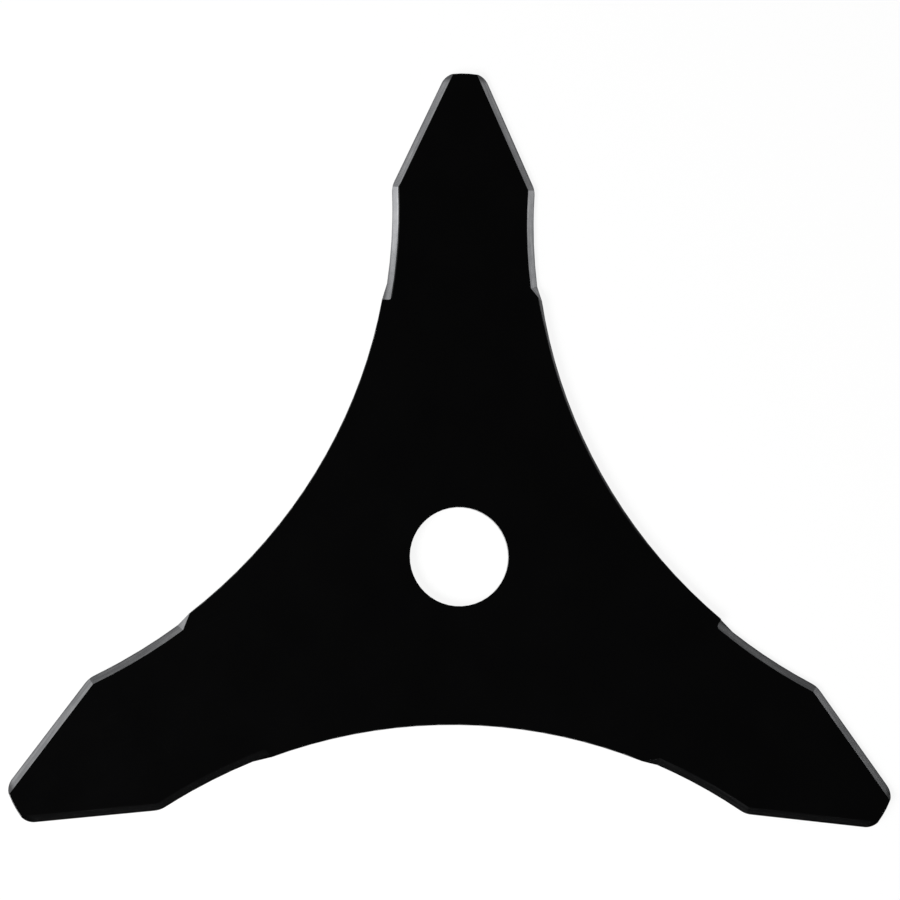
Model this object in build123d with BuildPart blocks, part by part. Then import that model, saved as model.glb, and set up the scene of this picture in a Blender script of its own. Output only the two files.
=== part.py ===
"""Three-tooth brush cutter blade: one flat steel plate with ground cutting edges.

Millimetres. The bore axis is Z, the underside lies on Z = 0, and one tooth points along +Y.
The plate is blanked from sheet. Between two teeth its outline is one long concave arc, the notch.
Along each cutting edge the outline is set back a little from that arc, and steps out to it again
at the heel. The upper face is then ground to a bevel along both edges of every tooth.
"""

from build123d import *
from math import asin, cos, degrees, radians, sin, sqrt
import os

# Plate
blade_diameter = 255.0
bore_diameter = 25.4
plate_thickness = 2.0
tooth_count = 3
edge_rounding = 0.25

# Notch between two teeth: an arc about an axis parallel to the bore
notch_radius = 133.4
notch_reach = 42.8

# Tooth outline: lengths along the tooth, from its tip down
tip_width = 10.6
tip_crown = 0.6
tip_corner_rounding = 3.8
slant_length = 30.8
shoulder_rounding = 6.5
edge_length = 25.8
edge_set_back = 0.6
heel_length = 4.2

# Ground bevels
bevel_width = 1.85
bevel_depth = 1.2
facet_length = 3.6
square_heel_rounding = 1.0
square_heel_overrun = 0.3
grinding_clearance = 2.0  # how far the grinding cuts run past the metal

# Places worked out from the sizes
tip_radius = blade_diameter / 2
shoulder_height = tip_radius - slant_length
heel_start_height = shoulder_height - edge_length
heel_end_height = heel_start_height - heel_length
pitch = 360 / tooth_count
notch_direction = Vector(sin(radians(pitch / 2)), cos(radians(pitch / 2)))
notch_centre = notch_direction * (notch_reach + notch_radius)
edge_radius = notch_radius + edge_set_back
bevel_radius = edge_radius + bevel_width
bevel_slope = bevel_depth / bevel_width
section_reach = bevel_width + edge_set_back + grinding_clearance


def on_arc(radius, height):
    """Point at a height along the tooth, on the near side of a circle about the notch axis."""
    rise = height - notch_centre.Y
    return Vector(notch_centre.X - sqrt(radius**2 - rise**2), height)


notch_middle = notch_direction * notch_reach
heel_end = on_arc(notch_radius, heel_end_height)
heel_start = on_arc(edge_radius, heel_start_height)
shoulder = on_arc(edge_radius, shoulder_height)
tip_corner = Vector(tip_width / 2, tip_radius - tip_crown)
facet_start = on_arc(bevel_radius, heel_end_height + facet_length)


def about_notch(start, end, radius):
    """Arc about the notch axis, from one point of the tooth outline to another."""
    start_angle = 180 - degrees(asin((start.Y - notch_centre.Y) / radius))
    end_angle = 180 - degrees(asin((end.Y - notch_centre.Y) / radius))
    return CenterArc(notch_centre, radius, start_angle, end_angle - start_angle)


# One tooth, from the middle of one notch round its tip to the middle of the next
with BuildSketch() as tooth:
    with BuildLine():
        Line((0, 0), notch_middle)
        about_notch(notch_middle, heel_end, notch_radius)
        Line(heel_end, heel_start)
        about_notch(heel_start, shoulder, edge_radius)
        Line(shoulder, tip_corner)
        Line(tip_corner, (0, tip_corner.Y))
        Line((0, tip_corner.Y), (0, 0))
    make_face()
    mirror(about=Plane.YZ)
    fillet(tooth.vertices().group_by(Axis.Y)[-2], shoulder_rounding)
    with BuildLine():
        ThreePointArc((-tip_corner.X, tip_corner.Y), (0, tip_radius), tip_corner)
        Line(tip_corner, (-tip_corner.X, tip_corner.Y))
    make_face()
    fillet(tooth.vertices().group_by(Axis.Y)[-1], tip_corner_rounding)

with BuildSketch() as outline:
    with PolarLocations(0, tooth_count):
        add(tooth.sketch)


def grinding_section(reach):
    """Right triangle above the bevel: its long side lies on the ground face, its corner is outside.

    X is the distance outwards from where the bevel meets the upper face, and Y is the height.
    """
    top = plate_thickness + grinding_clearance
    inner = -grinding_clearance / bevel_slope
    return Polyline(
        (inner, top),
        (reach, plate_thickness - reach * bevel_slope),
        (reach, top),
        close=True,
    )


# Conical cut round the whole notch, which grinds the long edges of the two teeth beside it
bevel_foot = notch_centre - Vector(bevel_radius, 0)
with BuildPart() as notch_grind:
    with BuildSketch(Plane(origin=bevel_foot, x_dir=(1, 0, 0), z_dir=(0, -1, 0))):
        with BuildLine():
            grinding_section(section_reach)
        make_face()
    revolve(axis=Axis(notch_centre, (0, 0, 1)))

# Facet at the right-hand heel: a flat cut through the corner of the bevel and the heel's end
facet_run = (heel_end - facet_start).normalized()
facet_outwards = Vector(-facet_run.Y, facet_run.X)
with BuildPart() as right_grind:
    with BuildSketch(Plane(origin=facet_start, x_dir=facet_outwards, z_dir=facet_run)):
        with BuildLine():
            grinding_section(tip_radius)
        make_face()
    extrude(amount=tip_radius, both=True)
    add(notch_grind.part, mode=Mode.INTERSECT)

# Square end at the left-hand heel: the cut stops across the tooth, with a rounded corner
with BuildPart() as left_grind:
    with BuildSketch() as left_zone:
        with Locations((-notch_centre.X, notch_centre.Y)):
            Circle(bevel_radius)
        with Locations((0, heel_end_height - square_heel_overrun)):
            Rectangle(blade_diameter, tip_radius, align=(Align.MAX, Align.MIN), mode=Mode.INTERSECT)
        square_corner = left_zone.vertices().group_by(Axis.Y)[0].sort_by(Axis.X)[-1]
        fillet(square_corner, square_heel_rounding)
    extrude(amount=plate_thickness + grinding_clearance)
    add(mirror(notch_grind.part, about=Plane.YZ, mode=Mode.PRIVATE), mode=Mode.INTERSECT)

# Flat cut along the slanted edge, from the tip to a little past the shoulder
slant_run = (tip_corner - shoulder).normalized()
slant_outwards = Vector(slant_run.Y, -slant_run.X)
slant_start = shoulder - slant_outwards * bevel_width - slant_run * bevel_width
slant_cut_length = (tip_corner - shoulder).length + tip_width
with BuildPart() as slant_grind:
    with BuildSketch(Plane(origin=slant_start, x_dir=slant_outwards, z_dir=slant_run * -1)):
        with BuildLine():
            grinding_section(section_reach)
        make_face()
    extrude(amount=-slant_cut_length)
    mirror(about=Plane.YZ)

# Blank with its upper outline rounded by the die, then the bore and the ground bevels
with BuildPart() as blade:
    add(outline.sketch)
    extrude(amount=plate_thickness)
    fillet(blade.edges().group_by(Axis.Z)[-1].filter_by(GeomType.CIRCLE), edge_rounding)
    Hole(bore_diameter / 2)
    with PolarLocations(0, tooth_count):
        add(slant_grind.part, mode=Mode.SUBTRACT)
        add(right_grind.part, mode=Mode.SUBTRACT)
        add(left_grind.part, mode=Mode.SUBTRACT)

os.makedirs("parts", exist_ok=True)
blade.part.label = "blade"
export_step(blade.part, "parts/blade.step")
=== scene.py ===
"""A brush cutter blade lying flat on a pale studio floor, seen from nearly overhead.

Metres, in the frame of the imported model: the bore axis is Z, the underside lies on Z = 0, and one
tooth points along +Y. Every size below is the blade's own, measured from that frame.
"""

from math import cos, pi, radians, sin, tan

import bmesh
import bpy
from mathutils import Matrix, Vector

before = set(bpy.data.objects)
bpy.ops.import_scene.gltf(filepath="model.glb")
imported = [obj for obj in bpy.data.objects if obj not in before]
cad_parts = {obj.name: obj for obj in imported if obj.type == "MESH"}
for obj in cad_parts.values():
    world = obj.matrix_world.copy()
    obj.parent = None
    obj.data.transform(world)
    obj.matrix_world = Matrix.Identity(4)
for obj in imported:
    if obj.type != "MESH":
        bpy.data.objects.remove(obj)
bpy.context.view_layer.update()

# The camera stands almost straight above the blade, a little to the left of the bore and below it
# in the picture, at arm's length.
camera_place = Vector((-0.0294964, -0.0172783, 0.4447429))
camera_aim = Vector((-0.0026272, 0.0276321, 0.0))
camera_roll = -0.0129777
camera_data = bpy.data.cameras.new("camera")
camera_data.lens = 69.0764
camera_data.sensor_width = 36.0
camera_data.clip_start = 0.01
camera_data.clip_end = 200.0
camera = bpy.data.objects.new("camera", camera_data)
looking = (camera_aim - camera_place).normalized()
sideways = looking.cross(Vector((sin(camera_roll), cos(camera_roll), 0.0))).normalized()
upwards = sideways.cross(looking)
camera_turn = Matrix((sideways, upwards, -looking)).transposed().to_4x4()
camera.matrix_world = Matrix.Translation(camera_place) @ camera_turn
bpy.context.collection.objects.link(camera)
bpy.context.scene.camera = camera

# The blade: one plate of hardened steel, blanked by a press, dipped in black paint and baked, then
# ground along both edges of each tooth, where the wheel leaves bare steel with fine marks.
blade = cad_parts["blade"]
finish = bpy.data.materials.new("painted_blade_with_ground_edges")
finish.use_nodes = True
nodes = finish.node_tree.nodes
links = finish.node_tree.links
nodes.clear()


def node(kind, **settings):
    made = nodes.new(kind)
    for name, value in settings.items():
        setattr(made, name, value)
    return made


def calculate(operation, a, b=0.0):
    made = node("ShaderNodeMath", operation=operation)
    for socket, value in ((0, a), (1, b)):
        if isinstance(value, (int, float)):
            made.inputs[socket].default_value = value
        else:
            links.new(value, made.inputs[socket])
    return made.outputs[0]


def noise(scale, detail, stretch=(1.0, 1.0, 1.0), roughness=0.5, turn=0.0):
    """A noise pattern: stretch multiplies its scale along each axis, and turn is about Z."""
    mapping = node("ShaderNodeMapping", vector_type="TEXTURE")
    mapping.inputs["Scale"].default_value = [1.0 / number for number in stretch]
    mapping.inputs["Rotation"].default_value = (0.0, 0.0, radians(turn))
    links.new(place.outputs["Object"], mapping.inputs["Vector"])
    made = node("ShaderNodeTexNoise")
    made.inputs["Scale"].default_value = scale
    made.inputs["Detail"].default_value = detail
    made.inputs["Roughness"].default_value = roughness
    links.new(mapping.outputs["Vector"], made.inputs["Vector"])
    return made.outputs["Fac"]


def ramp(value, low, high, to_low, to_high):
    """From to_low at low to to_high at high, and level beyond them."""
    made = node("ShaderNodeMapRange")
    links.new(value, made.inputs["Value"])
    numbers = {"From Min": low, "From Max": high, "To Min": to_low, "To Max": to_high}
    for name, number in numbers.items():
        made.inputs[name].default_value = number
    return made.outputs["Result"]


def amount_of(pattern, none_at, full_at, full=1.0):
    """How much of a mark there is: nothing where the pattern is low, full where it is high."""
    return ramp(pattern, none_at, full_at, 0.0, full)


def mix_colour(amount, a, b):
    made = node("ShaderNodeMix", data_type="RGBA")
    links.new(amount, made.inputs[0])
    for socket, value in ((6, a), (7, b)):
        if isinstance(value, tuple):
            made.inputs[socket].default_value = value
        else:
            links.new(value, made.inputs[socket])
    return made.outputs[2]


def mix_number(amount, a, b):
    made = node("ShaderNodeMix", data_type="FLOAT")
    links.new(amount, made.inputs[0])
    links.new(a, made.inputs[2])
    links.new(b, made.inputs[3])
    return made.outputs[0]


# Places on the blade: how high, how far from the bore axis, and how far out along the nearest tooth
tooth_pitch = 2 * pi / 3
place = node("ShaderNodeTexCoord")
position = node("ShaderNodeSeparateXYZ")
links.new(place.outputs["Object"], position.inputs[0])
across = position.outputs["X"]
up_top_tooth = position.outputs["Y"]
height = position.outputs["Z"]
flat_place = node("ShaderNodeVectorMath", operation="MULTIPLY")
flat_place.inputs[1].default_value = (1.0, 1.0, 0.0)
links.new(place.outputs["Object"], flat_place.inputs[0])
from_bore = node("ShaderNodeVectorMath", operation="LENGTH")
links.new(flat_place.outputs[0], from_bore.inputs[0])
radius = from_bore.outputs["Value"]
around = calculate("ARCTAN2", across, up_top_tooth)
tooth = calculate("ROUND", calculate("DIVIDE", around, tooth_pitch))
off_tooth = calculate("SUBTRACT", around, calculate("MULTIPLY", tooth, tooth_pitch))
along_tooth = calculate("MULTIPLY", radius, calculate("COSINE", off_tooth))

# The ground faces all have one slope and lie out on the teeth. The wheel cut less deep along the
# top tooth's left edge, so paint stays on the inner strip of that face, less of it on the slant.
ground_slope = 0.839        # upright part of a ground face's normal
slope_tolerance = 0.008
ground_from_radius = 0.067  # no ground face lies nearer the bore axis than this
face_height = 0.002         # the ground faces start here, at the upper face
face_allowance = 0.00001
left_edge_paint = 0.00019   # height of the painted strip on the edge below the shoulder
left_slant_paint = 0.00009  # and on the slant above it
shoulder_height = 0.0967
shoulder_blend = 0.001
wall_slope = 0.05           # a cut wall's normal has less of an upright part than this
surface = node("ShaderNodeNewGeometry")
true_normal = node("ShaderNodeSeparateXYZ")
links.new(surface.outputs["True Normal"], true_normal.inputs[0])
facing_up = true_normal.outputs["Z"]
slope_error = calculate("ABSOLUTE", calculate("SUBTRACT", facing_up, ground_slope))
on_slope = calculate("LESS_THAN", slope_error, slope_tolerance)
on_teeth = calculate("GREATER_THAN", radius, ground_from_radius)
on_left = calculate("LESS_THAN", across, 0.0)
on_top_half = calculate("GREATER_THAN", up_top_tooth, 0.0)
blend_from = shoulder_height - shoulder_blend
blend_to = shoulder_height + shoulder_blend
left_paint = ramp(up_top_tooth, blend_from, blend_to, left_edge_paint, left_slant_paint)
left_paint = calculate("MULTIPLY", calculate("MULTIPLY", on_left, on_top_half), left_paint)
ground_limit = calculate("SUBTRACT", face_height, left_paint)
below_limit = calculate("LESS_THAN", height, calculate("ADD", ground_limit, face_allowance))
is_ground = calculate("MULTIPLY", calculate("MULTIPLY", on_slope, on_teeth), below_limit)
is_wall = calculate("LESS_THAN", calculate("ABSOLUTE", facing_up), wall_slope)

# Bare steel: broad bands and fine streaks run along each edge, where the height stays the same.
# The ground face ends in a thin dark burr, darkened further as painted shade for the contact
# shadow beside the edge, and the ground face turns dark over its last 1.3 mm before the tip.
bright_steel = (0.67, 0.675, 0.69, 1.0)
plain_steel = (0.46, 0.465, 0.48, 1.0)
dull_steel = (0.36, 0.365, 0.38, 1.0)
burr_and_shade_colour = (0.16, 0.16, 0.165, 1.0)
band_stretch = (70.0, 70.0, 2300.0)
streak_stretch = (90.0, 90.0, 9000.0)
streak_strength = 0.35
mottle_scale = 520.0
mottle_strength = 0.45
patch_scale = 85.0
patch_strength = 0.40
burr_and_shade_height = 0.0008
burr_and_shade_fade = 0.00028
burr_and_shade_strength = 0.75
tip_darkening_from = 0.1249      # along the tooth
tip_darkening_to = 0.1262
tip_darkening_strength = 0.9
usual_low = 0.3             # most of a noise's values lie between these two
usual_high = 0.7
steel_smoothest = 0.09
steel_roughest = 0.15
bands = noise(scale=1.0, detail=2.0, stretch=band_stretch)
streaks = noise(scale=1.0, detail=3.0, stretch=streak_stretch, roughness=0.6)
mottle = noise(scale=mottle_scale, detail=4.0, roughness=0.6)
patches = noise(scale=patch_scale, detail=2.0)
burr_and_shade = ramp(height, burr_and_shade_height, burr_and_shade_height + burr_and_shade_fade, burr_and_shade_strength, 0.0)
tip_darkening = amount_of(along_tooth, tip_darkening_from, tip_darkening_to, full=tip_darkening_strength)
bands = amount_of(bands, none_at=0.36, full_at=0.62)
dull_streaks = amount_of(streaks, none_at=0.35, full_at=0.7, full=streak_strength)
mottle = amount_of(mottle, none_at=0.45, full_at=0.68, full=mottle_strength)
patches = amount_of(patches, none_at=0.50, full_at=0.66, full=patch_strength)
steel = mix_colour(bands, plain_steel, bright_steel)
steel = mix_colour(dull_streaks, steel, dull_steel)
steel = mix_colour(mottle, steel, dull_steel)
steel = mix_colour(patches, steel, dull_steel)
# painted shade: the burr darkened to stand for the contact shadow at the edge, and the dark tip
steel = mix_colour(calculate("MAXIMUM", burr_and_shade, tip_darkening), steel, burr_and_shade_colour)
steel_roughness = ramp(streaks, usual_low, usual_high, steel_smoothest, steel_roughest)

# Baked paint: nearly even in colour, with light scuffs in two directions
paint_colour = (0.0021, 0.0021, 0.0022, 1.0)
worn_paint_colour = (0.0026, 0.0026, 0.0027, 1.0)
wear_scale = 60.0
gloss_scale = 220.0
paint_smoothest = 0.08
paint_roughest = 0.12
scuff_roughness = 0.06      # added where a scuff is
scuff_one_stretch = (35.0, 2600.0, 1.0)
scuff_one_turn = 24.0       # degrees from X
scuff_two_stretch = (45.0, 3100.0, 1.0)
scuff_two_turn = -51.0
wear = amount_of(noise(scale=wear_scale, detail=3.0), usual_low, usual_high)
paint = mix_colour(wear, paint_colour, worn_paint_colour)
scuffs_one = noise(scale=1.0, detail=2.0, stretch=scuff_one_stretch, turn=scuff_one_turn)
scuffs_two = noise(scale=1.0, detail=2.0, stretch=scuff_two_stretch, turn=scuff_two_turn)
scuffs_one = amount_of(scuffs_one, none_at=0.66, full_at=0.72)
scuffs_two = amount_of(scuffs_two, none_at=0.68, full_at=0.74)
scuffs = calculate("MULTIPLY", calculate("MAXIMUM", scuffs_one, scuffs_two), scuff_roughness)
gloss = noise(scale=gloss_scale, detail=4.0)
paint_roughness = ramp(gloss, usual_low, usual_high, paint_smoothest, paint_roughest)
paint_roughness = calculate("ADD", paint_roughness, scuffs)

# The notch to the right of the top tooth: a grey strip on its rounded rim is a painted highlight,
# where the right-hand lamps glint on the edge. It grows brighter, and the strip a little wider, up
# towards that tooth's heel.
rim_highlight_colour = (0.12, 0.12, 0.122, 1.0)
notch_radius = 0.1334
notch_reach = 0.0428        # from the bore axis to the middle of the notch
notch_direction = Vector((sin(tooth_pitch / 2), cos(tooth_pitch / 2), 0.0))
heel_height = 0.067
widening_length = 0.008
rim_width = 0.0005
rim_width_at_heel = 0.0008
rim_blend = 0.00015
rim_highlight_from = 0.000         # up the top tooth
rim_highlight_to = 0.050
rim_foot = 0.0016           # the painted highlight reaches this far down the rounded edge
rim_top = 0.0018
from_axis = node("ShaderNodeVectorMath", operation="DISTANCE")
from_axis.inputs[1].default_value = notch_direction * (notch_reach + notch_radius)
links.new(flat_place.outputs[0], from_axis.inputs[0])
behind_edge = calculate("SUBTRACT", from_axis.outputs["Value"], notch_radius)
widening_from = heel_height - widening_length
strip_width = ramp(up_top_tooth, widening_from, heel_height, rim_width, rim_width_at_heel)
on_rim = ramp(calculate("SUBTRACT", behind_edge, strip_width), -rim_blend, rim_blend, 1.0, 0.0)
rim_highlight = calculate("MULTIPLY", on_rim, amount_of(up_top_tooth, rim_highlight_from, rim_highlight_to))
rim_highlight = calculate("MULTIPLY", rim_highlight, amount_of(height, rim_foot, rim_top))
# painted highlight: the grey strip on the notch's rounded rim
paint = mix_colour(rim_highlight, paint, rim_highlight_colour)

# Surface relief in millimetres: orange peel on the faces, shear marks under the paint of the cut
# walls, and grinding lines on the steel
millimetre = 0.001
relief_low = 0.2
relief_high = 0.8
orange_peel_scale = 420.0
orange_peel_depth = 0.003
shear_stretch = (1500.0, 1500.0, 120.0)
shear_depth = 0.010
grinding_depth = 0.0001
orange_peel = noise(scale=orange_peel_scale, detail=2.0)
orange_peel = amount_of(orange_peel, relief_low, relief_high, full=orange_peel_depth)
shear_marks = noise(scale=1.0, detail=3.0, stretch=shear_stretch)
shear_marks = amount_of(shear_marks, relief_low, relief_high, full=shear_depth)
grinding_lines = amount_of(streaks, relief_low, relief_high, full=grinding_depth)
relief = mix_number(is_ground, mix_number(is_wall, orange_peel, shear_marks), grinding_lines)
bump = node("ShaderNodeBump")
bump.inputs["Strength"].default_value = 1.0
bump.inputs["Distance"].default_value = millimetre
links.new(relief, bump.inputs["Height"])

shader = node("ShaderNodeBsdfPrincipled")
links.new(mix_colour(is_ground, paint, steel), shader.inputs["Base Color"])
links.new(is_ground, shader.inputs["Metallic"])
links.new(mix_number(is_ground, paint_roughness, steel_roughness), shader.inputs["Roughness"])
links.new(bump.outputs["Normal"], shader.inputs["Normal"])
output = node("ShaderNodeOutputMaterial")
links.new(shader.outputs[0], output.inputs["Surface"])
blade.material_slots[0].material = finish

# The floor is white paper, and a low wall of the same paper stands round it, far from the blade. It
# keeps the blade's shadow, and the picture's background is its own white.
floor_half_width = 40.0
floor_gap = 0.00005         # the blade lies this far above the paper
wall_distance = 9.0
wall_depth = 1.6            # half of it stands above the floor
wall_segments = 96
floor_glow = 0.91
paper_colour = (0.13, 0.13, 0.13, 1.0)
paper_fleck = (0.124, 0.124, 0.124, 1.0)
fleck_scale = 900.0
paper = bpy.data.materials.new("white_paper")
paper.use_nodes = True
nodes = paper.node_tree.nodes
links = paper.node_tree.links
nodes.clear()
rays = node("ShaderNodeLightPath")
mirrored = calculate("MAXIMUM", rays.outputs["Is Glossy Ray"], rays.outputs["Is Transmission Ray"])
seen = calculate("MAXIMUM", rays.outputs["Is Camera Ray"], mirrored)
place = node("ShaderNodeTexCoord")
flecks = amount_of(noise(scale=fleck_scale, detail=3.0), none_at=0.4, full_at=0.7)
sheet = node("ShaderNodeBsdfDiffuse")
links.new(mix_colour(flecks, paper_colour, paper_fleck), sheet.inputs["Color"])
glow = node("ShaderNodeEmission")
links.new(calculate("MULTIPLY", seen, floor_glow), glow.inputs["Strength"])
both = node("ShaderNodeAddShader")
links.new(sheet.outputs[0], both.inputs[0])
links.new(glow.outputs[0], both.inputs[1])
output = node("ShaderNodeOutputMaterial")
links.new(both.outputs[0], output.inputs["Surface"])
floor_mesh = bpy.data.meshes.new("floor")
shape = bmesh.new()
bmesh.ops.create_grid(shape, x_segments=1, y_segments=1, size=floor_half_width)
bmesh.ops.translate(shape, vec=(0.0, 0.0, -floor_gap), verts=shape.verts)
shape.to_mesh(floor_mesh)
shape.free()
floor_mesh.materials.append(paper)
floor = bpy.data.objects.new("floor", floor_mesh)
bpy.context.collection.objects.link(floor)
wall_mesh = bpy.data.meshes.new("backdrop")
shape = bmesh.new()
bmesh.ops.create_cone(
    shape,
    cap_ends=False,
    segments=wall_segments,
    radius1=wall_distance,
    radius2=wall_distance,
    depth=wall_depth,
)
shape.to_mesh(wall_mesh)
shape.free()
wall_mesh.materials.append(paper)
backdrop = bpy.data.objects.new("backdrop", wall_mesh)
bpy.context.collection.objects.link(backdrop)

# The studio: soft boxes standing low round the blade, a broad key lamp over the lower left at a
# middling height, and a dim room behind them. Each lamp faces the bore, and its radiance is what a
# mirror would show.
lamp_distance = 1.1
room_strength = 0.006


def soft_box(name, azimuth, elevation, wide, high, radiance):
    """One lamp, by where it stands and how wide and high it looks from the bore, in degrees."""
    data = bpy.data.lights.new(name, "AREA")
    data.shape = "RECTANGLE"
    data.size = 2 * lamp_distance * tan(radians(wide / 2))
    data.size_y = 2 * lamp_distance * tan(radians(high / 2))
    data.energy = radiance * pi * data.size * data.size_y
    lamp = bpy.data.objects.new(name, data)
    outwards = cos(radians(elevation))
    direction = Vector((
        cos(radians(azimuth)) * outwards,
        sin(radians(azimuth)) * outwards,
        sin(radians(elevation)),
    ))
    lamp.location = direction * lamp_distance
    lamp.rotation_euler = direction.to_track_quat("Z", "Y").to_euler()
    lamp.visible_camera = False
    bpy.context.collection.objects.link(lamp)


soft_box("left_box", azimuth=170.5, elevation=24.0, wide=59.0, high=36.0, radiance=0.47)
soft_box("left_low_box", azimuth=134.5, elevation=12.8, wide=13.0, high=13.7, radiance=0.29)
soft_box("left_hot_box", azimuth=177.0, elevation=32.0, wide=33.0, high=22.0, radiance=0.60)
soft_box("back_left_box", azimuth=121.0, elevation=24.0, wide=40.0, high=36.0, radiance=0.18)
soft_box("right_box", azimuth=4.0, elevation=27.15, wide=44.0, high=29.7, radiance=0.46)
soft_box("back_right_box", azimuth=39.5, elevation=8.5, wide=25.0, high=13.0, radiance=0.225)
soft_box("back_box", azimuth=70.0, elevation=24.0, wide=60.0, high=24.0, radiance=0.10)
soft_box("front_box", azimuth=281.0, elevation=21.0, wide=60.0, high=18.0, radiance=0.002)
soft_box("key_box", azimuth=214.0, elevation=38.0, wide=40.0, high=24.0, radiance=13.0)

room = bpy.data.worlds.new("room")
room.use_nodes = True
room.node_tree.nodes["Background"].inputs["Color"].default_value = (1.0, 1.0, 1.0, 1.0)
room.node_tree.nodes["Background"].inputs["Strength"].default_value = room_strength
bpy.context.scene.world = room
bpy.context.scene.view_settings.view_transform = "Standard"
